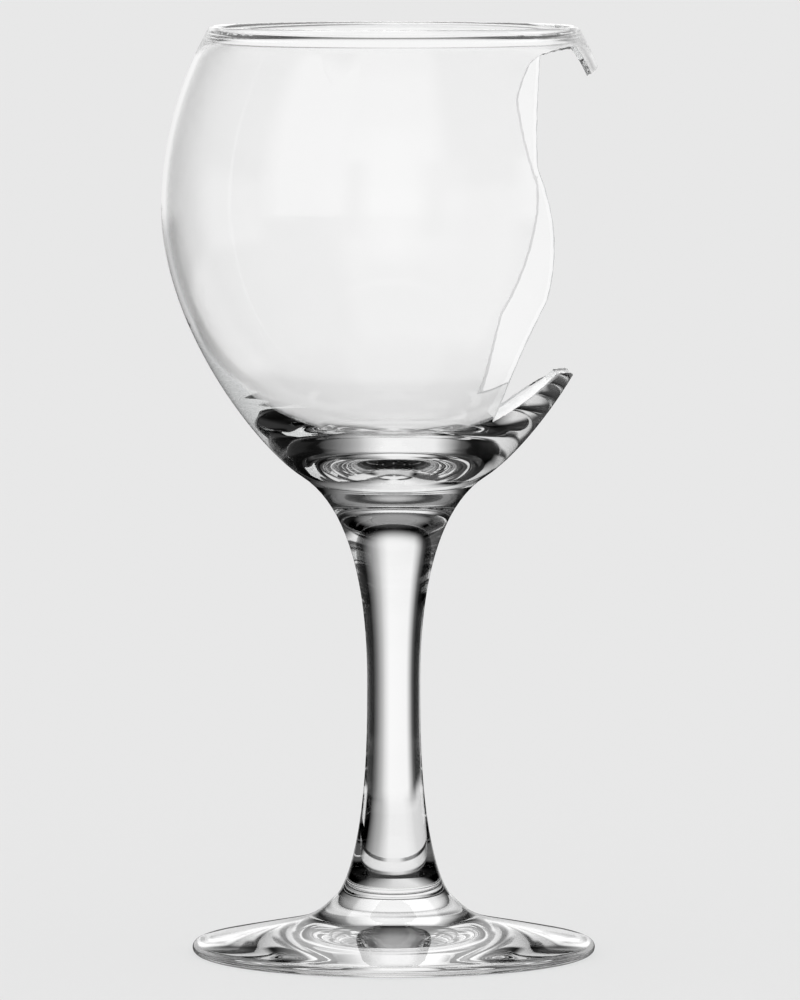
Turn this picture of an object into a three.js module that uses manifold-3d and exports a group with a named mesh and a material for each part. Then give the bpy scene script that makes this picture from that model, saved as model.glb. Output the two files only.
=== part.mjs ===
// A stemmed wine glass with a large piece broken out of its bowl.
// Bowl, stem and foot are one piece of clear glass, turned about the Z axis.
// Millimetres, +Z up. The foot stands on z = 0, and the break faces +X.

import * as THREE from 'three'
import { mergeVertices, toCreasedNormals } from 'three/addons/utils/BufferGeometryUtils.js'
import Module from 'manifold-3d'

// Overall sizes.
const height = 178
const bowlRadius = 44.5
const rimRadius = 35.5
const footRadius = 38.7

// Bowl. The neck is where its outside turns from the bowl's curve into the stem's.
const bowlWidestHeight = 143.5
const neckHeight = 91.9
const neckRadius = 17.7
const neckRise = THREE.MathUtils.degToRad(32.5)
const rimLean = THREE.MathUtils.degToRad(29)
const wallThickness = 1.1
const lipThickness = 1.9
const lipFairing = 4
const floorAboveNeck = 2.6

// Stem and foot. The instep is where the stem's flare turns into the foot's slope, at 45 degrees.
const stemRadius = 5.1
const waistHeight = 49
const instepRadius = 10.9
const instepHeight = 11.2
const footEdgeThickness = 2.2
const footSlope = THREE.MathUtils.degToRad(12)
const standingRingWidth = 5
const dishDepth = 0.8
const dishFlatRadius = 9

// How far each curve keeps its end direction: the handles of the cubic curves below.
const bowlHandle = { up: 12.2, down: 22.3, inside: 15.6 }
const lipHandle = { outside: 11.3, inside: 1.2 }
const floorHandle = 32.2
const neckHandle = { up: 10.4, down: 16 }
const waistHandle = { up: 5.8, down: 30.2 }
const instepHandle = { up: 1, down: 8.1 }
const footHandle = 22

// Outline of the break, anticlockwise seen from outside. azimuth is in degrees from +X towards
// +Y, rise is the share of the way from the neck to the rim, and bow is how far the crack
// from this corner to the next one bends away from a straight line, in millimetres.
const breakCorners = [
  { azimuth: -28, rise: 0.24, bow: -0.5 },
  { azimuth: 2, rise: 0.217, bow: 0.4 },
  { azimuth: 24, rise: 0.201, bow: -0.4 },
  { azimuth: 37, rise: 0.148, bow: 0.7 },
  { azimuth: 49, rise: 0.099, bow: 1.8 },
  { azimuth: 57, rise: 0.34, bow: -1.6 },
  { azimuth: 50, rise: 0.63, bow: 1 },
  { azimuth: 54, rise: 0.825, bow: 1.7 },
  { azimuth: 38, rise: 0.947, bow: 0.3 },
  { azimuth: 22, rise: 0.961, bow: -0.9 },
  { azimuth: 6, rise: 0.914, bow: 0.3 },
  { azimuth: -18, rise: 0.898, bow: 0.5 },
  { azimuth: -22, rise: 0.96, bow: 0.3 },
  { azimuth: -43, rise: 0.944, bow: 1.6 },
  { azimuth: -52, rise: 0.7, bow: -1.4 },
  { azimuth: -46, rise: 0.408, bow: 1.7 },
  { azimuth: -50, rise: 0.138, bow: 0.7 },
]

// How the broken faces cross the wall: 1 is square to it all round, and 0 is along Y all round.
// Between them the faces stay square above and below, and lean through the wall at both sides.
const crackLean = 0.4

// Facets.
const aroundAxis = 60
const crackSteps = 5

const rz = (r, z) => new THREE.Vector2(r, z)
const heading = (angle) => rz(Math.cos(angle), Math.sin(angle))
const along = (point, direction, distance) => point.clone().addScaledVector(direction, distance)
const up = rz(0, 1)

// Points of a curve from its start, leaving out its last point, which starts the next curve.
const openEnded = (curve, steps) => curve.getPoints(steps).slice(0, steps)

// A cubic curve that leaves start along startWay and arrives at end along endWay.
function sweep(start, startWay, startHandle, end, endWay, endHandle) {
  return new THREE.CubicBezierCurve(
    start,
    along(start, startWay, startHandle),
    along(end, endWay, -endHandle),
    end,
  )
}

// A stretch of a circle between two headings from its centre.
function arc(centre, radius, from, to, clockwise) {
  return new THREE.EllipseCurve(centre.x, centre.y, radius, radius, from, to, clockwise)
}

// Points that the outer curves pass through.
const footEdgeRadius = footEdgeThickness / 2
const footEdgeCentre = rz(footRadius - footEdgeRadius, footEdgeRadius)
const footTopWay = Math.PI / 2 - footSlope
const footTop = along(footEdgeCentre, heading(footTopWay), footEdgeRadius)
const instep = rz(instepRadius, instepHeight)
const waist = rz(stemRadius, waistHeight)
const neck = rz(neckRadius, neckHeight)
const widest = rz(bowlRadius, bowlWidestHeight)

// The lip is a round bead that the outer wall runs into without a step.
const lipRadius = lipThickness / 2
const lipCentre = rz(rimRadius - lipRadius * Math.cos(rimLean), height - lipRadius)
const lipOutside = along(lipCentre, heading(rimLean), lipRadius)

// Outside, from the foot's edge up to the lip.
const instepWay = heading(Math.PI * 0.75)
const footCurve = sweep(footTop, heading(Math.PI - footSlope), footHandle, instep, instepWay, instepHandle.down)
const flareCurve = sweep(instep, instepWay, instepHandle.up, waist, up, waistHandle.down)
const stemCurve = sweep(waist, up, waistHandle.up, neck, heading(neckRise), neckHandle.down)
const lowerBowl = sweep(neck, heading(neckRise), neckHandle.up, widest, up, bowlHandle.down)
const lipWay = heading(Math.PI / 2 + rimLean)
const upperBowl = sweep(widest, up, bowlHandle.up, lipOutside, lipWay, lipHandle.outside)

// The upper wall has one thickness: each inner point lies straight inside an outer one.
function insideUpperBowl(t) {
  const way = upperBowl.getTangent(t)
  return along(upperBowl.getPoint(t), rz(-way.y, way.x), wallThickness)
}

// Inside, from the lip down to the middle of the bowl's floor.
const lipUnderside = Math.PI + rimLean + THREE.MathUtils.degToRad(35)
const fairingEnd = 1 - lipFairing / upperBowl.getLength()
const lipInside = along(lipCentre, heading(lipUnderside), lipRadius)
const fairingWay = upperBowl.getTangent(fairingEnd).negate()
const lipFillet = sweep(
  lipInside,
  heading(lipUnderside + Math.PI / 2),
  lipHandle.inside,
  insideUpperBowl(fairingEnd),
  fairingWay,
  lipHandle.inside,
)
const floor = rz(0, neckHeight + floorAboveNeck)
const widestInside = rz(bowlRadius - wallThickness, bowlWidestHeight)
const down = rz(0, -1)
const innerBowl = sweep(
  widestInside,
  down,
  bowlHandle.inside,
  floor,
  rz(-1, 0),
  floorHandle,
)

const upperWallSteps = 7
const innerUpperWall = []
for (let i = 0; i < upperWallSteps; i += 1) {
  innerUpperWall.push(insideUpperBowl(fairingEnd * (1 - i / upperWallSteps)))
}

const outerBowl = [...openEnded(lowerBowl, 10), ...upperBowl.getPoints(upperWallSteps)]

const profile = [
  rz(0, dishDepth),
  rz(dishFlatRadius, dishDepth),
  rz(footEdgeCentre.x - standingRingWidth, 0),
  ...openEnded(arc(footEdgeCentre, footEdgeRadius, -Math.PI / 2, footTopWay, false), 5),
  ...openEnded(footCurve, 6),
  ...openEnded(flareCurve, 8),
  ...openEnded(stemCurve, 8),
  ...outerBowl,
  ...openEnded(arc(lipCentre, lipRadius, rimLean, Math.PI / 2, false), 2).slice(1),
  ...openEnded(arc(lipCentre, lipRadius, Math.PI / 2, lipUnderside, false), 4),
  ...openEnded(lipFillet, 3),
  ...innerUpperWall,
  ...innerBowl.getPoints(12),
]

// The outer wall's radius at a height on the bowl.
function bowlRadiusAt(z) {
  const above = outerBowl.findIndex((point, i) => i > 0 && point.y >= z)
  const low = outerBowl[above - 1]
  const high = outerBowl[above]
  return THREE.MathUtils.mapLinear(z, low.y, high.y, low.x, high.x)
}

// One crack of the break: a curve in the unrolled wall, across as degrees and up as height.
function crack(from, to) {
  const bowlHeight = height - neckHeight
  const start = rz(from.azimuth, neckHeight + from.rise * bowlHeight)
  const end = rz(to.azimuth, neckHeight + to.rise * bowlHeight)
  const degreePerMm = 180 / (Math.PI * bowlRadius)
  const across = (end.x - start.x) / degreePerMm
  const rise = end.y - start.y
  const length = Math.hypot(across, rise)
  const middle = start.clone().lerp(end, 0.5)
  middle.x += (2 * from.bow * rise * degreePerMm) / length
  middle.y -= (2 * from.bow * across) / length
  return new THREE.QuadraticBezierCurve(start, middle, end)
}

// What is cut away: a plug through the wall, with the outline of the break. Its sides run from
// well inside the wall to well outside it, and its ends are closed by fans of triangles.
function breakCutter() {
  const centre = new THREE.Vector3(0, 0, bowlWidestHeight)
  const insideWall = -0.3
  const outsideWall = 0.5
  const loop = breakCorners.flatMap((corner, i) => {
    const next = breakCorners[(i + 1) % breakCorners.length]
    return openEnded(crack(corner, next), crackSteps)
  })
  const ring = (share) => loop.map((point) => {
    const azimuth = THREE.MathUtils.degToRad(point.x)
    const radius = bowlRadiusAt(point.y)
    const onWall = new THREE.Vector3(radius * Math.cos(azimuth), radius * Math.sin(azimuth), point.y)
    const through = onWall.clone().sub(centre)
    through.x *= crackLean
    through.z *= crackLean
    return onWall.addScaledVector(through, share)
  })
  const farPoint = new THREE.Vector3(bowlRadius * 3, 0, bowlWidestHeight)
  const corners = [centre, farPoint, ...ring(insideWall), ...ring(outsideWall)]
  const triangles = loop.flatMap((_, i) => {
    const inner = 2 + i
    const nextInner = 2 + ((i + 1) % loop.length)
    const outer = inner + loop.length
    const nextOuter = nextInner + loop.length
    return [
      0, nextInner, inner,
      inner, nextInner, nextOuter,
      inner, nextOuter, outer,
      1, outer, nextOuter,
    ]
  })
  const geometry = new THREE.BufferGeometry()
  const positions = corners.flatMap((corner) => corner.toArray())
  geometry.setAttribute('position', new THREE.Float32BufferAttribute(positions, 3))
  geometry.setIndex(triangles)
  return geometry
}

// A closed geometry as a solid that can be cut. The pole triangles of a turned shape that
// have no area are left out.
function solidFrom(wasm, geometry) {
  const bare = geometry.clone()
  bare.deleteAttribute('normal')
  bare.deleteAttribute('uv')
  const merged = mergeVertices(bare, 1e-4)
  const index = merged.getIndex().array
  const triangles = []
  for (let i = 0; i < index.length; i += 3) {
    const [a, b, c] = index.slice(i, i + 3)
    if (a !== b && b !== c && c !== a) triangles.push(a, b, c)
  }
  return new wasm.Manifold(new wasm.Mesh({
    numProp: 3,
    vertProperties: new Float32Array(merged.getAttribute('position').array),
    triVerts: new Uint32Array(triangles),
  }))
}

function geometryFrom(solid) {
  const mesh = solid.getMesh()
  const geometry = new THREE.BufferGeometry()
  geometry.setAttribute('position', new THREE.Float32BufferAttribute(mesh.vertProperties, 3))
  geometry.setIndex(Array.from(mesh.triVerts))
  return toCreasedNormals(geometry, THREE.MathUtils.degToRad(30))
}

const wasm = await Module()
wasm.setup()

const turned = new THREE.LatheGeometry(profile, aroundAxis).rotateX(Math.PI / 2)
const wholeGlass = solidFrom(wasm, turned)
const brokenGlass = wholeGlass.subtract(solidFrom(wasm, breakCutter()))

const clearGlass = new THREE.MeshStandardMaterial({
  color: 0xeef1f1,
  roughness: 0.03,
  metalness: 0,
  transparent: true,
  opacity: 0.35,
  side: THREE.DoubleSide,
})

const wineGlass = new THREE.Mesh(geometryFrom(brokenGlass), clearGlass)
wineGlass.name = 'wine_glass'

const group = new THREE.Group()
group.name = 'cracked_wine_glass'
group.add(wineGlass)

export default group
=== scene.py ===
# %% [markdown]
# A cracked wine glass
#
# The real object is one piece of clear glass: a round bowl, a stem drawn from its bottom and a
# flat foot. A large piece has broken out of the bowl's side and is gone. Clear glass has no
# colour of its own. All that the eye gets is what the glass bends and mirrors, so this lesson
# spends its care on three things: a smooth closed mesh, a true break, and what surrounds it.

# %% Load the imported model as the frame
import math

import bmesh
import bpy
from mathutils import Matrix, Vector


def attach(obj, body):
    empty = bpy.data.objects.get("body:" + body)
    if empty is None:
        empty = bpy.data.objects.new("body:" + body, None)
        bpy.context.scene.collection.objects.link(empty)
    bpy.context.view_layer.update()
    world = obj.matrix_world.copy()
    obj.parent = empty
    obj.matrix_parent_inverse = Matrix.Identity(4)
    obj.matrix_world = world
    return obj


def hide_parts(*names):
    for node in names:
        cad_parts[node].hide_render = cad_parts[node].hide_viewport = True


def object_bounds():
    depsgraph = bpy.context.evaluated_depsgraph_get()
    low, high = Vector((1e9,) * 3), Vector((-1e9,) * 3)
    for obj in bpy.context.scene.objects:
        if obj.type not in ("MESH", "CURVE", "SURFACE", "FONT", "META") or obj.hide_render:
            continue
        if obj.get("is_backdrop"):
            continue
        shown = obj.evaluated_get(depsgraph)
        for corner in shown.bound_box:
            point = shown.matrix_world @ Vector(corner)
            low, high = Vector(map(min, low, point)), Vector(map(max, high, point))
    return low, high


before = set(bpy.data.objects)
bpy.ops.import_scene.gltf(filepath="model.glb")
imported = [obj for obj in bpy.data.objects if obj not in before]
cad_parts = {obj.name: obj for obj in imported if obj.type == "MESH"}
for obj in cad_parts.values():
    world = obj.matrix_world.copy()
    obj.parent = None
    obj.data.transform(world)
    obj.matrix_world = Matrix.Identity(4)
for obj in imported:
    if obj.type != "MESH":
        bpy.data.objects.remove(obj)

cad_box = [[float(v) for v in corner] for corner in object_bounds()]
foot_to_rim = cad_box[1][2] - cad_box[0][2]
print("the glass is", round(foot_to_rim * 1000, 1), "mm tall")
print("the frame has the nodes", list(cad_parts))

# %% [markdown]
# The camera
#
# The photograph looks nearly level from well over a metre away: the foot shows as a low ellipse
# and the rim almost as a line. A long lens far off gives that. The eye's height and distance come
# from how open those two ellipses are, and the lens from how much of the frame the glass fills.

# %% Place the camera
MM = 0.001
photo_scale = 0.1917 * MM  # metres of the glass's own plane that one pixel of the photograph shows
photo_width, photo_height = 800, 1000
axis_column, table_row = 393.7, 955
eye_distance = 1.66
eye_height = 218 * MM

aim = Vector((
    (photo_width / 2 - axis_column) * photo_scale,
    0.0,
    (table_row - photo_height / 2) * photo_scale,
))
camera_data = bpy.data.cameras.new("photo_camera")
camera = bpy.data.objects.new("photo_camera", camera_data)
bpy.context.scene.collection.objects.link(camera)
bpy.context.scene.camera = camera
camera.location = (aim.x, -eye_distance, eye_height)
line_of_sight = aim - camera.location
camera.rotation_euler = line_of_sight.to_track_quat("-Z", "Y").to_euler()
sensor_height, far_enough = 36.0, 50.0
camera_data.sensor_fit = "VERTICAL"
camera_data.sensor_height = sensor_height
half_frame = photo_height / 2 * photo_scale
camera_data.lens = sensor_height / 2 * line_of_sight.length / half_frame
camera_data.clip_end = far_enough
print("lens", round(camera_data.lens), "mm")

# %% [markdown]
# The outline of the glass
#
# A glass blower's machine spins the gob, so the whole glass is one outline turned about an axis.
# The outline could be traced point by point, but a smooth surface needs few controls. Here it is
# five cubic curves that share their end directions, so no kink shows in what the glass bends.
# The sizes are the ones that the frame was made from.

# %% Sizes of the glass
height = foot_to_rim
bowl_radius = 44.5 * MM
rim_radius = 35.5 * MM
foot_radius = 38.7 * MM
widest_height = 143.5 * MM
neck_height, neck_radius = 91.9 * MM, 17.7 * MM
neck_rise = math.radians(32.5)
rim_lean = math.radians(29)
wall_thickness = 1.1 * MM
lip_radius = 0.95 * MM
lip_fairing = 4 * MM
floor_height = 94.5 * MM
stem_radius, waist_height = 5.1 * MM, 49 * MM
instep_radius, instep_height = 10.9 * MM, 11.2 * MM
instep_lean = math.radians(135)
foot_edge_radius = 1.1 * MM
foot_slope = math.radians(12)
standing_ring_width = 5 * MM
dish_depth, dish_flat_radius = 0.8 * MM, 9 * MM
lip_roll = math.radians(35)  # how far the lip's bead rolls over into the bowl
print("the bowl is", round(2 * bowl_radius / MM, 1), "mm across")

# %% How each curve bends
# pull at its start, pull at its end, and points; a long pull keeps a direction for longer
foot_bend = (22 * MM, 8.1 * MM, 20)
flare_bend = (1 * MM, 30.2 * MM, 26)
stem_bend = (5.8 * MM, 16 * MM, 28)
lower_bowl_bend = (10.4 * MM, 22.3 * MM, 30)
upper_bowl_bend = (12.2 * MM, 11.3 * MM, 22)
lip_fillet_bend = (1.2 * MM, 1.2 * MM, 6)
inner_bowl_bend = (15.6 * MM, 32.2 * MM, 40)
foot_edge_points, lip_points = 12, 14
print("the inside of the bowl bends over", inner_bowl_bend[-1], "points")


# %% Curves that an outline is made of
def heading(angle):
    """A direction in the outline's plane, where 0 is outwards and a quarter turn is up."""
    return Vector((math.cos(angle), math.sin(angle)))


def bezier(a, b, c, d, steps):
    """Points of a cubic curve, without its last one, which starts the next curve."""
    points = []
    for i in range(steps):
        t = i / steps
        u = 1 - t
        points.append(a * u**3 + b * (3 * u * u * t) + c * (3 * u * t * t) + d * t**3)
    return points


def sweep(start, start_way, end, end_way, bend):
    """A curve that leaves start along start_way and arrives at end along end_way."""
    start_pull, end_pull, steps = bend
    return bezier(start, start + start_way * start_pull, end - end_way * end_pull, end, steps)


def arc(centre, radius, start, end, steps):
    """Points of an arc, without its last one."""
    turn = (end - start) / steps
    return [centre + heading(start + turn * i) * radius for i in range(steps)]


print("a heading of 0 points to", tuple(heading(0)))

# %% Outside of the glass, from the foot's underside to the lip
up, down, inwards = Vector((0, 1)), Vector((0, -1)), Vector((-1, 0))
foot_edge_centre = Vector((foot_radius - foot_edge_radius, foot_edge_radius))
foot_top_way = math.pi / 2 - foot_slope
foot_top = foot_edge_centre + heading(foot_top_way) * foot_edge_radius
instep = Vector((instep_radius, instep_height))
instep_way = heading(instep_lean)
waist = Vector((stem_radius, waist_height))
neck = Vector((neck_radius, neck_height))
neck_way = heading(neck_rise)
widest = Vector((bowl_radius, widest_height))
lip_centre = Vector((rim_radius - lip_radius * math.cos(rim_lean), height - lip_radius))
lip_outside = lip_centre + heading(rim_lean) * lip_radius
lip_way = heading(math.pi / 2 + rim_lean)

underside = [
    Vector((0, dish_depth)),
    Vector((dish_flat_radius, dish_depth)),
    Vector((foot_radius - foot_edge_radius - standing_ring_width, 0)),
]
foot_edge = arc(foot_edge_centre, foot_edge_radius, -math.pi / 2, foot_top_way, foot_edge_points)
foot_curve = sweep(foot_top, heading(math.pi - foot_slope), instep, instep_way, foot_bend)
flare_curve = sweep(instep, instep_way, waist, up, flare_bend)
stem_curve = sweep(waist, up, neck, neck_way, stem_bend)
lower_bowl = sweep(neck, neck_way, widest, up, lower_bowl_bend)
upper_bowl = sweep(widest, up, lip_outside, lip_way, upper_bowl_bend)
outside = foot_edge + foot_curve + flare_curve + stem_curve + lower_bowl + upper_bowl
print("outside of the glass has", len(outside), "points")

# %% Inside of the bowl, from the lip to the middle of the floor
lip_underside = math.pi + rim_lean + lip_roll
lip_round = arc(lip_centre, lip_radius, rim_lean, lip_underside, lip_points)
lip_inside = lip_centre + heading(lip_underside) * lip_radius


def inside_wall(points):
    """The same stretch of wall on its inside, one wall thickness in."""
    inner = []
    for here, beyond in zip(points, points[1:]):
        way = (beyond - here).normalized()
        inner.append(here + Vector((-way.y, way.x)) * wall_thickness)
    return inner


plain_wall = [p for p in upper_bowl if (p - lip_outside).length > lip_fairing]
upper_inside = inside_wall(plain_wall)[::-1]
fairing_start = upper_inside[0]
fairing_way = (upper_inside[1] - upper_inside[0]).normalized()
lip_turn = heading(lip_underside + math.pi / 2)
lip_fillet = sweep(lip_inside, lip_turn, fairing_start, fairing_way, lip_fillet_bend)
widest_inside = Vector((bowl_radius - wall_thickness, widest_height))
bowl_floor = Vector((0, floor_height))
inner_bowl = sweep(widest_inside, down, bowl_floor, inwards, inner_bowl_bend)
inside = lip_fillet + upper_inside + inner_bowl + [bowl_floor]
outline = underside + outside + lip_round + inside
print("whole outline has", len(outline), "points")

# %% [markdown]
# Turning the outline
#
# A Screw modifier could turn the outline too. Plain code is as short and leaves a single vertex
# at each end of the axis, so that the mesh is closed and its faces look outwards. Refraction
# needs that: Cycles has to know at every face whether a ray goes into the glass or out of it.

# %% Turn the outline into a closed mesh
around = 240
on_axis = 1e-7  # metres; a point nearer to the axis than this is one vertex, not a ring


def turned_mesh(name, points):
    """A closed mesh: the outline turned about Z."""
    mesh = bmesh.new()
    rings = []
    for p in points:
        if p.x < on_axis:
            rings.append([mesh.verts.new((0, 0, p.y))])
            continue
        ring = []
        for i in range(around):
            a = math.tau * i / around
            ring.append(mesh.verts.new((p.x * math.cos(a), p.x * math.sin(a), p.y)))
        rings.append(ring)
    for low, high in zip(rings, rings[1:]):
        for i in range(around):
            j = (i + 1) % around
            below = (low[i % len(low)], low[j % len(low)])
            above = (high[j % len(high)], high[i % len(high)])
            mesh.faces.new(list(dict.fromkeys(below + above)))
    data = bpy.data.meshes.new(name)
    mesh.to_mesh(data)
    mesh.free()
    return data


glass_data = turned_mesh("cracked_wine_glass", outline)
glass = bpy.data.objects.new("cracked_wine_glass", glass_data)
bpy.context.scene.collection.objects.link(glass)
print("turned glass has", len(glass_data.polygons), "faces")

# %% [markdown]
# Clear glass
#
# Soda-lime glass bends light by 1.52 and mirrors about 4% of it head on. The Principled shader
# does both. Lamps would throw a hard dark shadow through it, because Cycles does not follow
# their light through a bend, so shadow and diffuse rays meet a clear film in place of it.

# %% An empty material, and the nodes that most materials here share
def shader_nodes(name):
    """A material, its node tree and the output, with nothing joined to it yet."""
    material = bpy.data.materials.new(name)
    material.use_nodes = True
    tree = material.node_tree
    tree.nodes.clear()
    output = tree.nodes.new("ShaderNodeOutputMaterial")
    print("made the material", material.name)
    return material, tree, output


def math_node(tree, operation, *values):
    """The result of one sum, whose values are numbers or sockets."""
    node = tree.nodes.new("ShaderNodeMath")
    node.operation = operation
    for socket, value in zip(node.inputs, values):
        if isinstance(value, (int, float)):
            socket.default_value = value
        else:
            tree.links.new(value, socket)
    return node.outputs[0]


def mix_shaders(tree, share, first, second):
    """A mix that is the first shader where share is 0 and the second where it is 1."""
    mix = tree.nodes.new("ShaderNodeMixShader")
    tree.links.new(share, mix.inputs["Fac"])
    tree.links.new(first.outputs[0], mix.inputs[1])
    tree.links.new(second.outputs[0], mix.inputs[2])
    return mix


# %% Glass material
glass_bend = 1.52  # the refractive index of soda-lime glass
film_tint = (0.93, 0.935, 0.935, 1)
clear_glass, tree, output = shader_nodes("clear_glass")
body = tree.nodes.new("ShaderNodeBsdfPrincipled")
body.inputs["Base Color"].default_value = (1, 1, 1, 1)
body.inputs["Roughness"].default_value = 0.0
body.inputs["IOR"].default_value = glass_bend
body.inputs["Transmission Weight"].default_value = 1.0
film = tree.nodes.new("ShaderNodeBsdfTransparent")
film.inputs["Color"].default_value = film_tint
rays = tree.nodes.new("ShaderNodeLightPath")
shadow_or_diffuse = rays.outputs["Is Shadow Ray"], rays.outputs["Is Diffuse Ray"]
sees_film = math_node(tree, "MAXIMUM", *shadow_or_diffuse)
glass_or_film = mix_shaders(tree, sees_film, body, film)
tree.links.new(glass_or_film.outputs[0], output.inputs["Surface"])
print("clear glass has", len(tree.nodes), "nodes")

# %% [markdown]
# Pale broken faces
#
# A fresh break is as clear as the rest, but along a wall one millimetre thick it is full of fine
# ripples that scatter the light, and from outside the edge is a thin pale line. Ripples that fine
# would need a very heavy mesh. A slightly rough, nearly white finish on those faces alone gives
# the same line. Without it they would be clean mirrors that show black.

# %% Material of the broken faces
edge_roughness, edge_clearness = 0.3, 0.1
broken_edge, tree, output = shader_nodes("broken_edge")
body = tree.nodes.new("ShaderNodeBsdfPrincipled")
body.inputs["Base Color"].default_value = (1, 1, 1, 1)
body.inputs["Roughness"].default_value = edge_roughness
body.inputs["IOR"].default_value = glass_bend
body.inputs["Transmission Weight"].default_value = edge_clearness
tree.links.new(body.outputs[0], output.inputs["Surface"])
print("the broken faces have a roughness of", edge_roughness)

# %% [markdown]
# The break
#
# Cracks in a thin shell run in long bows and meet in sharp corners. So the missing piece is cut
# out with a solid that goes through the wall along the outline of the break. It crosses the wall
# square above and below and leans at the sides, as the broken faces of the frame do. Rings across
# the wall's thickness let the broken faces swell and ripple as glass does.

# %% Corners of the break, one crack from each to the next
# azimuth in degrees from +X towards +Y, share of the way from neck to rim, and bow in mm
break_corners = [
    (-28, 0.24, -0.5),
    (2, 0.217, 0.4),
    (24, 0.201, -0.4),
    (37, 0.148, 0.7),
    (49, 0.099, 1.8),
    (57, 0.34, -1.6),
    (50, 0.63, 1.0),
    (54, 0.825, 1.7),
    (38, 0.947, 0.3),
    (22, 0.961, -0.9),
    (6, 0.914, 0.3),
    (-18, 0.898, 0.5),
    (-22, 0.96, 0.3),
    (-43, 0.944, 1.6),
    (-52, 0.7, -1.4),
    (-46, 0.408, 1.7),
    (-50, 0.138, 0.7),
]
print("the break has", len(break_corners), "corners")

# %% Cracks that run from corner to corner
outer_wall = lower_bowl + upper_bowl + [lip_outside]


def wall_radius(z):
    """The outer wall's radius at height z on the bowl."""
    for low, high in zip(outer_wall, outer_wall[1:]):
        if high.y >= z:
            return low.x + (high.x - low.x) * (z - low.y) / (high.y - low.y)
    return outer_wall[-1].x


def unrolled(corner):
    """A corner on the wall laid flat: metres across at the widest, and height."""
    across = math.radians(corner[0]) * bowl_radius
    return Vector((across, neck_height + corner[1] * (height - neck_height)))


points_per_crack = 22


def crack(start, end):
    """Points of one crack on the wall laid flat, without its last one."""
    a, b = unrolled(start), unrolled(end)
    along = (b - a).normalized()
    bow = 2 * start[2] * MM  # the middle control of a curve stands off twice as far as the curve
    middle = (a + b) / 2 + Vector((along.y, -along.x)) * bow
    shares = [i / points_per_crack for i in range(points_per_crack)]
    return [a * (1 - t) ** 2 + middle * (2 * t * (1 - t)) + b * t**2 for t in shares]


crack_line = []
for start, end in zip(break_corners, break_corners[1:] + break_corners[:1]):
    crack_line += crack(start, end)
print("the crack line has", len(crack_line), "points")

# %% Shape of the broken faces
middle_of_bowl = Vector((0, 0, widest_height))
crack_lean = 0.4  # 1 is square to the wall all round, 0 is along Y all round
# rings of the cutter, as shares of the way from the bowl's middle to its outer wall
ring_shares = (0.7, 0.88, 0.92, 0.94, 0.955, 0.965, 0.975, 0.985, 0.995, 1.01, 1.5)
unit_of_depth = 0.05  # of the same way
swell_size, swell_rate = 0.12 * MM, 2.2  # rate in radians for each unit of depth
ripples = (  # size, radians for each mm along the crack, radians for each unit of depth
    (0.05 * MM, 1.9, 1.7),
    (0.03 * MM, 4.7, -2.9),
)
tip_reach = 3 * bowl_radius


def on_wall(p):
    """A point of the wall laid flat, back on the round wall."""
    a = p.x / bowl_radius
    r = wall_radius(p.y)
    return Vector((r * math.cos(a), r * math.sin(a), p.y))


def relief(travelled, share):
    """How far a broken face swells and ripples out of its plane."""
    if share in (ring_shares[0], ring_shares[-1]):
        return 0
    depth = (1 - share) / unit_of_depth
    swell = swell_size * math.sin(depth * swell_rate)
    ripple = 0
    for size, along, across in ripples:
        ripple += size * math.sin(travelled / MM * along + depth * across)
    return swell + ripple


print("the broken faces swell by up to", round(swell_size / MM, 2), "mm")


# %% A cutter with rippled sides
def cutter_mesh(name):
    """A closed solid whose sides go through the wall along the crack line."""
    mesh = bmesh.new()
    count = len(crack_line)
    spots = [on_wall(p) for p in crack_line]
    travelled = 0.0
    rings = [[] for _ in ring_shares]
    for i, spot in enumerate(spots):
        ray = spot - middle_of_bowl
        ray = Vector((ray.x * crack_lean, ray.y, ray.z * crack_lean))
        run = spots[(i + 1) % count] - spots[i - 1]
        aside = run.cross(ray).normalized()
        travelled += (spots[(i + 1) % count] - spot).length
        for ring, share in zip(rings, ring_shares):
            place = spot + ray * (share - 1) + aside * relief(travelled, share)
            ring.append(mesh.verts.new(place))
    inner_tip = mesh.verts.new(middle_of_bowl)
    outer_tip = mesh.verts.new(middle_of_bowl + Vector((tip_reach, 0, 0)))
    for i in range(count):
        j = (i + 1) % count
        mesh.faces.new((inner_tip, rings[0][j], rings[0][i]))
        mesh.faces.new((outer_tip, rings[-1][i], rings[-1][j]))
        for low, high in zip(rings, rings[1:]):
            mesh.faces.new((low[i], low[j], high[j], high[i]))
    bmesh.ops.recalc_face_normals(mesh, faces=mesh.faces)
    data = bpy.data.meshes.new(name)
    mesh.to_mesh(data)
    mesh.free()
    return data


glass_data.materials.append(clear_glass)
cutter = bpy.data.objects.new("break_cutter", cutter_mesh("break_cutter"))
cutter.data.materials.append(broken_edge)
bpy.context.scene.collection.objects.link(cutter)
print("the cutter has", len(cutter.data.polygons), "faces")

# %% [markdown]
# Cutting
#
# A Boolean modifier takes the cutter away from the glass. Its Manifold solver is quick and keeps
# a closed mesh closed. It also carries the cutter's material over, so that the new faces are
# marked as broken. Only the two long side edges stay pale. The stub under the rim and the low
# tongue of wall stand at the outline, where clear broken faces give the dark lines of real glass.

# %% Cut the missing piece out
cut = glass.modifiers.new("break", "BOOLEAN")
cut.operation = "DIFFERENCE"
cut.solver = "MANIFOLD"
cut.material_mode = "TRANSFER"
cut.object = cutter
graph = bpy.context.evaluated_depsgraph_get()
broken = bpy.data.meshes.new_from_object(glass.evaluated_get(graph))
glass.modifiers.clear()
glass.data = broken
broken.name = "cracked_wine_glass"
bpy.data.objects.remove(cutter)
print("after the cut the glass has", len(broken.polygons), "faces")

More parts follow.
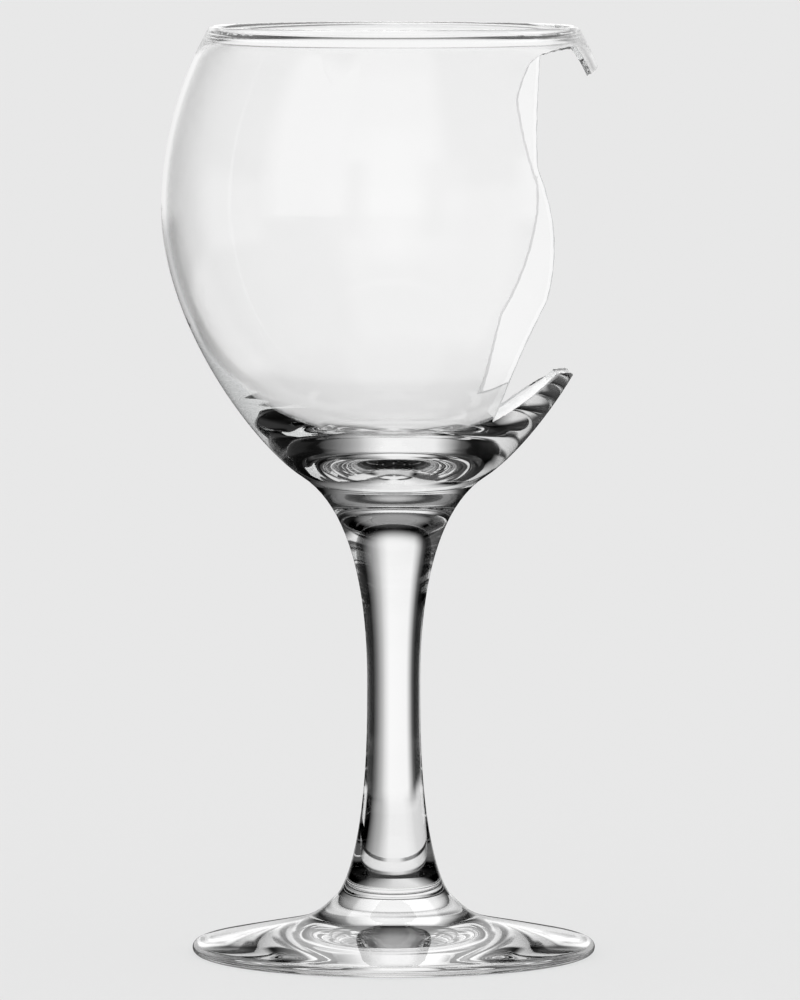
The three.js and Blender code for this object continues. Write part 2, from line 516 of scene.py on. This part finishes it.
# %% Keep the pale finish on the two side edges only
side_cut = 0.45  # level share of a face's direction: 1 for a wall, 0 for a floor
side_azimuth = math.radians(30)
slots = broken.materials
pale_slot = slots.find(broken_edge.name)
for polygon in broken.polygons:
    level = math.hypot(polygon.normal.x, polygon.normal.y)
    azimuth = math.atan2(abs(polygon.center.y), polygon.center.x)
    at_side = level > side_cut and azimuth > side_azimuth
    if polygon.material_index == pale_slot and not at_side:
        polygon.material_index = slots.find(clear_glass.name)
print("pale broken faces:", sum(p.material_index == pale_slot for p in broken.polygons))

# %% Smooth faces, sharp edges at the break
sharp_from = math.radians(32)
broken.shade_smooth()
broken.set_sharp_from_angle(angle=sharp_from)
print("sharp from", round(math.degrees(sharp_from)), "degrees")

# %% Check that the mesh is still closed
check = bmesh.new()
check.from_mesh(broken)
volume = check.calc_volume() / MM**3
print("open edges:", sum(not edge.is_manifold for edge in check.edges))
print("volume", round(volume), "mm3")
check.free()

# %% [markdown]
# What stands round the glass
#
# Glass is drawn by its surroundings. A photographer puts a bright sheet behind it, which fills
# its middle, and black flags beside it, which draw its edges as dark lines. Cards that stand near
# could do that here too, but each one ends in a line that shows as a band in the stem or in the
# bowl once the glass is seen from another side. So most of it is painted far away, on the world,
# as light and dark by direction. Only the floor close to the foot and one low ring are near.
#
# The Light Path node tells two kinds of ray apart. A transmission depth above zero means that a
# ray has been inside the glass and was bent there. Zero means that the outer face mirrored it.
# Each kind gets its own surroundings, because one setting can't serve both: what is bent should
# be bright in the middle and dark beside it, and what is mirrored is mostly the soft light above.

# %% The stage's grey and its pieces
pale = 0.806  # what the camera sees as the floor and the backdrop
stage_pieces = []


def add_mesh(name, corners, faces, material):
    """Adds a piece of the stage from its corners and faces."""
    data = bpy.data.meshes.new(name)
    data.from_pydata(corners, [], faces)
    data.materials.append(material)
    thing = bpy.data.objects.new(name, data)
    bpy.context.scene.collection.objects.link(thing)
    stage_pieces.append(thing)
    print(name, "has", len(faces), "faces")
    return thing


print("floor and backdrop show as", pale)


# %% Soft changes and blends of values
def smooth_change(tree, value, start, end, low=0.0, high=1.0):
    """Goes softly from low to high while the value goes from start to end."""
    node = tree.nodes.new("ShaderNodeMapRange")
    node.interpolation_type = "SMOOTHSTEP"
    numbers = (start, end, low, high)
    for socket, number in zip(("From Min", "From Max", "To Min", "To Max"), numbers):
        node.inputs[socket].default_value = number
    tree.links.new(value, node.inputs["Value"])
    return node.outputs["Result"]


def blend_values(tree, share, first, second):
    """The first value where share is 0, the second where it is 1."""
    node = tree.nodes.new("ShaderNodeMix")
    tree.links.new(share, node.inputs["Factor"])
    for socket, value in zip(("A", "B"), (first, second)):
        if isinstance(value, (int, float)):
            node.inputs[socket].default_value = value
        else:
            tree.links.new(value, node.inputs[socket])
    return node.outputs["Result"]


# %% Place, direction and kind of ray
def coordinate(tree, kind):
    """Where a ray arrives ("Object"), or its direction on the world ("Generated")."""
    return tree.nodes.new("ShaderNodeTexCoord").outputs[kind]


def split(tree, place):
    """X, Y and Z of a place or a direction."""
    parts = tree.nodes.new("ShaderNodeSeparateXYZ")
    tree.links.new(place, parts.inputs[0])
    return parts.outputs["X"], parts.outputs["Y"], parts.outputs["Z"]


def by_direction(tree, x, y, stops):
    """Brightness by degrees from +Y, where the photograph looks, towards +X, -180 to 180."""
    ahead = 0.5  # where the ramp holds 0 degrees
    turn = math_node(tree, "ARCTAN2", x, y)
    share = math_node(tree, "MULTIPLY_ADD", turn, 1 / math.tau, ahead)
    ramp = tree.nodes.new("ShaderNodeValToRGB")
    tree.links.new(share, ramp.inputs["Fac"])
    elements = ramp.color_ramp.elements
    while len(elements) < len(stops):
        elements.new(ahead)
    for element, (degrees, grey) in zip(elements, stops):
        element.position = degrees / 360 + ahead
        element.color = (grey, grey, grey, 1)
    return ramp.outputs["Color"]


def been_in_glass(tree):
    """1 for rays that have gone into the glass, 0 for those that its outer face mirrors."""
    rays = tree.nodes.new("ShaderNodeLightPath")
    return math_node(tree, "GREATER_THAN", rays.outputs["Transmission Depth"], 0.5)


def from_glass(tree):
    """1 for rays that come from the glass, whether bent or mirrored."""
    rays = tree.nodes.new("ShaderNodeLightPath")
    mirrored_or_bent = rays.outputs["Is Glossy Ray"], rays.outputs["Is Transmission Ray"]
    return math_node(tree, "MAXIMUM", *mirrored_or_bent)


# %% [markdown]
# The floor
#
# The floor is plain, pale and matt, and it carries the glass's shadow. What the glass sees of the
# floor near its foot is painted shade and painted light instead: dark straight under the stem and
# beside the foot, as shade from a real foot would be, and bright behind it, as if the table ran on
# into the bright sheet. What the glass mirrors of that near floor is painted almost black. A
# second sheet under the glass could do the same, but its edges would show. The paint is laid in
# rings round the axis, each one light and dark by direction. Further out than the last ring the
# floor is clear to such rays, so that the world answers for them.

# %% Painted shade and light on the floor, ring by ring
# grey by direction for each ring: painted shade where it is low, painted light where it is high
under_stem = [
    (-180, 0.0), (-13, 0.0), (-8, 0.35), (-4, 0.8), (0, 0.7), (2, 0.45), (6, 0.12), (10, 0.0),
    (180, 0.0),
]
under_foot = [
    (-180, 0.6), (-160, 0.6), (-140, 0.15), (-110, 0.15), (-90, 0.6), (-70, 0.6), (-58, 0.12),
    (-40, 0.3), (-28, 0.9), (28, 0.9), (38, 0.03), (58, 0.03), (70, 0.6), (100, 0.6), (114, 0.1),
    (138, 0.1), (160, 0.6), (180, 0.6),
]
below_foot_edge = [
    (-180, 0.75), (-171, 0.75), (-163, 0.0), (-100, 0.0), (-86, 0.75), (-64, 0.75), (-50, 0.0),
    (-9, 0.0), (-4, 0.8), (4, 0.8), (9, 0.0), (50, 0.0), (64, 0.75), (86, 0.75), (100, 0.0),
    (163, 0.0), (171, 0.75), (180, 0.75),
]
beside_foot = [
    (-180, 0.6), (-150, 0.6), (-140, 0.0), (-78, 0.0), (-66, 0.75), (-26, 0.75), (-12, 0.88),
    (4, 0.88), (15, 0.43), (25, 0.25), (34, 0.0), (140, 0.0), (150, 0.6), (180, 0.6),
]
ring_borders = {  # metres from the axis, where each ring starts and where it is full
    "under stem": (0.0115, 0.0125),
    "under foot": (0.019, 0.023),
    "below foot edge": (0.0325, 0.0345),
    "beside foot": (0.039, 0.042),
    "open floor": (0.10, 0.15),
}
# painted shade: the near floor, as the glass's outer face mirrors it, is almost black
mirrored_floor = 0.05
print("the floor's paint has", len(ring_borders), "rings")

# %% Floor material, with the painted shade and light that the glass sees
floor_with_painted_shade, tree, output = shader_nodes("pale_floor_with_painted_shade")
matt = tree.nodes.new("ShaderNodeBsdfDiffuse")
matt.inputs["Color"].default_value = (pale, pale, pale, 1)
place = coordinate(tree, "Object")
x, y, _ = split(tree, place)
length = tree.nodes.new("ShaderNodeVectorMath")
length.operation = "LENGTH"
tree.links.new(place, length.inputs[0])
from_axis = length.outputs["Value"]

starts = {ring: smooth_change(tree, from_axis, *border) for ring, border in ring_borders.items()}
bent = math_node(tree, "MULTIPLY", by_direction(tree, x, y, under_stem), starts["under stem"])
bent = blend_values(tree, starts["under foot"], bent, by_direction(tree, x, y, under_foot))
below_edge = by_direction(tree, x, y, below_foot_edge)
bent = blend_values(tree, starts["below foot edge"], bent, below_edge)
bent = blend_values(tree, starts["beside foot"], bent, by_direction(tree, x, y, beside_foot))
# painted shade and light on the near floor, which only rays from the glass see
near_floor_painted_light_and_shade = tree.nodes.new("ShaderNodeEmission")
seen = blend_values(tree, been_in_glass(tree), mirrored_floor, bent)
tree.links.new(seen, near_floor_painted_light_and_shade.inputs["Strength"])
open_floor = tree.nodes.new("ShaderNodeBsdfTransparent")
painted = mix_shaders(tree, starts["open floor"], near_floor_painted_light_and_shade, open_floor)
paint = mix_shaders(tree, from_glass(tree), matt, painted)
tree.links.new(paint.outputs[0], output.inputs["Surface"])
print("the floor's material has", len(tree.nodes), "nodes")

# %% Floor
floor_half = 40.0
floor_drop = 0.05 * MM  # keeps the floor just clear of the ring that the glass stands on
floor_corners = [
    (-floor_half, -floor_half, -floor_drop), (floor_half, -floor_half, -floor_drop),
    (floor_half, floor_half, -floor_drop), (-floor_half, floor_half, -floor_drop),
]
add_mesh("floor", floor_corners, [(0, 1, 2, 3)], floor_with_painted_shade)

# %% [markdown]
# The low ring
#
# A stem has two fine black lines right at its outline. They are what its outer face mirrors at a
# glancing angle, so they need something dark at both sides, close by and no higher than the
# stem. The foot needs the reverse: what it bends out to its sides should be bright, so that its
# top looks white. One ring does both. It is dark for mirrored rays above the foot, bright for
# bent rays at the foot's own height, and clear to all others.

# %% Paint of the low ring
dark_sides = [
    (-180, 0.0), (-122, 0.0), (-108, 1.0), (-30, 1.0), (-20, 0.0), (20, 0.0), (30, 1.0),
    (108, 1.0), (122, 0.0), (180, 0.0),
]
bright_sides = [
    (-180, 0.0), (-100, 0.0), (-90, 1.0), (-52, 1.0), (-46, 0.0), (46, 0.0), (52, 1.0), (90, 1.0),
    (100, 0.0), (180, 0.0),
]
dark_rises, dark_ends = (0.012, 0.022), (0.075, 0.09)  # metres above the table
bright_ends = (0.013, 0.018)
bright_strength = 0.95
print("the low ring is dark from", dark_rises[0] / MM, "to", dark_ends[1] / MM, "mm")

# %% Material of the low ring
ring_paint, tree, output = shader_nodes("low_ring")
x, y, z = split(tree, coordinate(tree, "Object"))
clear = tree.nodes.new("ShaderNodeBsdfTransparent")
dark = tree.nodes.new("ShaderNodeEmission")
dark.inputs["Strength"].default_value = 0.0
bright = tree.nodes.new("ShaderNodeEmission")
bright.inputs["Strength"].default_value = bright_strength

bright_share = by_direction(tree, x, y, bright_sides)
bright_share = math_node(tree, "MULTIPLY", bright_share, been_in_glass(tree))
low_part = smooth_change(tree, z, *bright_ends, 1.0, 0.0)
bright_share = math_node(tree, "MULTIPLY", bright_share, low_part)
dark_share = by_direction(tree, x, y, dark_sides)
dark_share = math_node(tree, "MULTIPLY", dark_share, smooth_change(tree, z, *dark_rises))
below_top = smooth_change(tree, z, *dark_ends, 1.0, 0.0)
dark_share = math_node(tree, "MULTIPLY", dark_share, below_top)
mirrored_only = math_node(tree, "SUBTRACT", 1.0, been_in_glass(tree))
dark_share = math_node(tree, "MULTIPLY", dark_share, mirrored_only)
lit = mix_shaders(tree, bright_share, clear, bright)
tree.links.new(mix_shaders(tree, dark_share, lit, dark).outputs[0], output.inputs["Surface"])
print("the low ring's material has", len(tree.nodes), "nodes")

# %% Low ring, which nothing but the glass shows
ring_radius, ring_top, ring_steps = 0.06, 0.09, 96
ring_corners, ring_faces = [], []
for i in range(ring_steps):
    a = math.tau * i / ring_steps
    for rise in (0.0, ring_top):
        ring_corners.append((ring_radius * math.sin(a), ring_radius * math.cos(a), rise))
    j = (i + 1) % ring_steps
    ring_faces.append((2 * i, 2 * i + 1, 2 * j + 1, 2 * j))
low_ring = add_mesh("low_ring", ring_corners, ring_faces, ring_paint)
low_ring.visible_camera = False
low_ring.visible_diffuse = False
low_ring.visible_shadow = False
low_ring.visible_volume_scatter = False

# %% [markdown]
# The world, for what the glass bends
#
# Behind the glass is a bright sheet, a little off centre, with soft sides. Beside it all is
# dark, which gives the stem its two dark bands and the bowl's bottom its black wedges. More
# light stands at the sides and in front, level with the glass: it fills a bowl that is seen from
# the side. The world is cut by height into three belts, because rays that leave the bowl's
# bottom upwards need no such side light, and those that go down meet the table.

# %% Belts of the world for bent rays
raised_belt = [
    (-180, 0.6), (-160, 0.3), (-140, 0.1), (-62, 0.0), (-40, 0.007), (-33, 0.1), (-26, 0.57),
    (-20, 0.93), (5, 0.96), (8, 0.88), (13, 0.7), (17, 0.485), (22, 0.32), (30, 0.13), (38, 0.007),
    (140, 0.1), (160, 0.3), (180, 0.6),
]
level_belt = [
    (-180, 0.85), (-170, 0.85), (-158, 0.35), (-148, 0.35), (-138, 0.12), (-116, 0.1),
    (-104, 0.85), (-76, 0.85), (-62, 0.0), (-40, 0.007), (-33, 0.1), (-26, 0.57), (-20, 0.93),
    (5, 0.96), (8, 0.88), (13, 0.7), (17, 0.485), (22, 0.32), (30, 0.13), (38, 0.007), (104, 0.0),
    (118, 0.85), (152, 0.85), (160, 0.35), (170, 0.85), (180, 0.85),
]
lowered_belt = [
    (-180, 0.85), (-160, 0.85), (-148, 0.1), (-74, 0.1), (-62, 0.85), (-40, 0.85), (-36, 0.0),
    (-26, 0.0), (-18, 0.64), (-12, 0.88), (4, 0.88), (15, 0.43), (25, 0.25), (34, 0.1), (104, 0.1),
    (118, 0.85), (180, 0.85),
]
# heights in the sky are Z of a direction that is one long: 0 is level and 1 is straight up
lowered_to_level, level_to_raised = (-0.28, -0.21), (0.05, 0.17)
raised_ends, overhead_starts, overhead = (0.34, 0.54), (0.75, 0.95), 0.3
print("belts change at", lowered_to_level, "and", level_to_raised)

# %% Bent rays
world = bpy.data.worlds.new("studio")
bpy.context.scene.world = world
world.use_nodes = True
tree = world.node_tree
tree.nodes.clear()
x, y, z = split(tree, coordinate(tree, "Generated"))

raised = by_direction(tree, x, y, raised_belt)
raised = math_node(tree, "MULTIPLY", raised, smooth_change(tree, z, *raised_ends, 1.0, 0.0))
level = by_direction(tree, x, y, level_belt)
lowered = by_direction(tree, x, y, lowered_belt)
bent = blend_values(tree, smooth_change(tree, z, *level_to_raised), level, raised)
bent = blend_values(tree, smooth_change(tree, z, *lowered_to_level), lowered, bent)
bent = math_node(tree, "ADD", bent, smooth_change(tree, z, *overhead_starts, 0.0, overhead))
print("the world for bent rays has", len(tree.nodes), "nodes")

# %% [markdown]
# The world, for what the glass mirrors
#
# The outer face mirrors a plain pale room, a little brighter higher up, and a softbox overhead.
# The softbox could be an area lamp, but a lamp also shines through the glass and shows twice. As
# an oval on the world it is seen by mirrored rays only. Low behind the glass stands a bright
# strip for the top of the foot, which is seen at a glancing angle. Below the horizon it is dark
# behind the glass, for the thin dark line down the side of the bowl.

# %% Numbers of the mirrored room
room_level, room_high, room_floor = 0.81, 0.95, 0.88
high_starts, floor_ends = (0.0, 0.15), (-0.3, -0.15)
dark_below = [(-180, 0.0), (-54, 0.0), (-38, 1.0), (38, 1.0), (54, 0.0), (180, 0.0)]
dark_below_ends = (-0.1, -0.04)
box_middle, box_half_width, box_half_depth = 1.37, 2.05, 2.19  # on a ceiling one unit up
box_edge = (0.3, 1.05)  # where its light fades: 0 is the middle, 1 the edge
box_front, box_back, box_change = 3.0, 1.5, (0.3, 1.6)
lowest_rise = 0.01  # so that no level direction is divided by zero
strip_light, strip_behind, strip_height = 1.8, (0.7, 0.85), (0.02, 0.08)
print("softbox from", box_middle - box_half_depth, "to", box_middle + box_half_depth, "behind")

# %% Mirrored rays: the room
mirrored = blend_values(tree, smooth_change(tree, z, *high_starts), room_level, room_high)
at_floor = smooth_change(tree, z, *floor_ends, 1.0, 0.0)
mirrored = blend_values(tree, at_floor, mirrored, room_floor)
in_dark = by_direction(tree, x, y, dark_below)
below_level = smooth_change(tree, z, *dark_below_ends, 1.0, 0.0)
in_dark = math_node(tree, "MULTIPLY", in_dark, below_level)
mirrored = blend_values(tree, in_dark, mirrored, 0.0)
print("with the room the world has", len(tree.nodes), "nodes")

# %% Mirrored rays: the softbox, an oval where directions meet a ceiling one unit up
up_only = math_node(tree, "MAXIMUM", z, lowest_rise)
across = math_node(tree, "DIVIDE", x, up_only)
back = math_node(tree, "DIVIDE", y, up_only)
box_light = smooth_change(tree, back, *box_change, box_front, box_back)
across = math_node(tree, "DIVIDE", across, box_half_width)
back = math_node(tree, "SUBTRACT", back, box_middle)
back = math_node(tree, "DIVIDE", back, box_half_depth)
from_middle = math_node(tree, "MULTIPLY", across, across)
from_middle = math_node(tree, "MULTIPLY_ADD", back, back, from_middle)
in_box = smooth_change(tree, from_middle, *box_edge, 1.0, 0.0)
mirrored = blend_values(tree, in_box, mirrored, box_light)
print("with the softbox the world has", len(tree.nodes), "nodes")

# %% Mirrored rays: the low strip behind
above_sides = math_node(tree, "SUBTRACT", z, math_node(tree, "ABSOLUTE", x))
in_strip = smooth_change(tree, y, *strip_behind)
in_strip = math_node(tree, "MULTIPLY", in_strip, smooth_change(tree, above_sides, *strip_height))
mirrored = blend_values(tree, in_strip, mirrored, strip_light)
print("with the strip the world has", len(tree.nodes), "nodes")

# %% [markdown]
# The world, for all other rays
#
# Matt surfaces get one soft even light from all round, so no lamp is needed and nothing clips.
# The camera sees the plain pale backdrop, the same grey as the floor, so the two run together.

# %% World
def background(grey):
    """An even grey from all round, at strength 1."""
    node = tree.nodes.new("ShaderNodeBackground")
    node.inputs["Color"].default_value = (grey, grey, grey, 1)
    return node


surroundings = background(1)
seen = blend_values(tree, been_in_glass(tree), mirrored, bent)
tree.links.new(seen, surroundings.inputs["Strength"])
soft_light, backdrop = background(1), background(pale)
camera_rays = tree.nodes.new("ShaderNodeLightPath").outputs["Is Camera Ray"]
around_all = mix_shaders(tree, camera_rays, soft_light, backdrop)
around_all = mix_shaders(tree, from_glass(tree), around_all, surroundings)
output = tree.nodes.new("ShaderNodeOutputWorld")
tree.links.new(around_all.outputs[0], output.inputs["Surface"])
print("the world has", len(tree.nodes), "nodes")

# %% [markdown]
# Settings that glass needs
#
# Light crosses four walls and is mirrored many times inside the stem and the foot. With the
# usual dozen bounces those places turn black, so glass gets many more. Caustics would only add
# noise to a floor that is lit evenly from all round. The Standard view keeps greys as written.

# %% Render settings
glass_bounces, clear_bounces = 48, 24
scene = bpy.context.scene
scene.view_settings.view_transform = "Standard"
scene.cycles.use_denoising = True
scene.cycles.caustics_reflective = False
scene.cycles.caustics_refractive = False
scene.cycles.max_bounces = glass_bounces
scene.cycles.transmission_bounces = glass_bounces
scene.cycles.glossy_bounces = glass_bounces
scene.cycles.transparent_max_bounces = clear_bounces
print("rays may bounce", glass_bounces, "times in the glass")

# %% [markdown]
# Handing over
#
# The frame's own glass is hidden and the new one stands for it. Both boxes are printed, to show
# whether the new glass is as large as the frame. It has to stay as large as the frame says.

# %% Hand over
for thing in stage_pieces:
    thing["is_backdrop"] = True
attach(glass, "root")
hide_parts("wine_glass")
visual_box = [[float(v) for v in corner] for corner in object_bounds()]
for name, box in (("CAD box", cad_box), ("visual box", visual_box)):
    print(name, [[round(v / MM, 2) for v in corner] for corner in box], "mm")
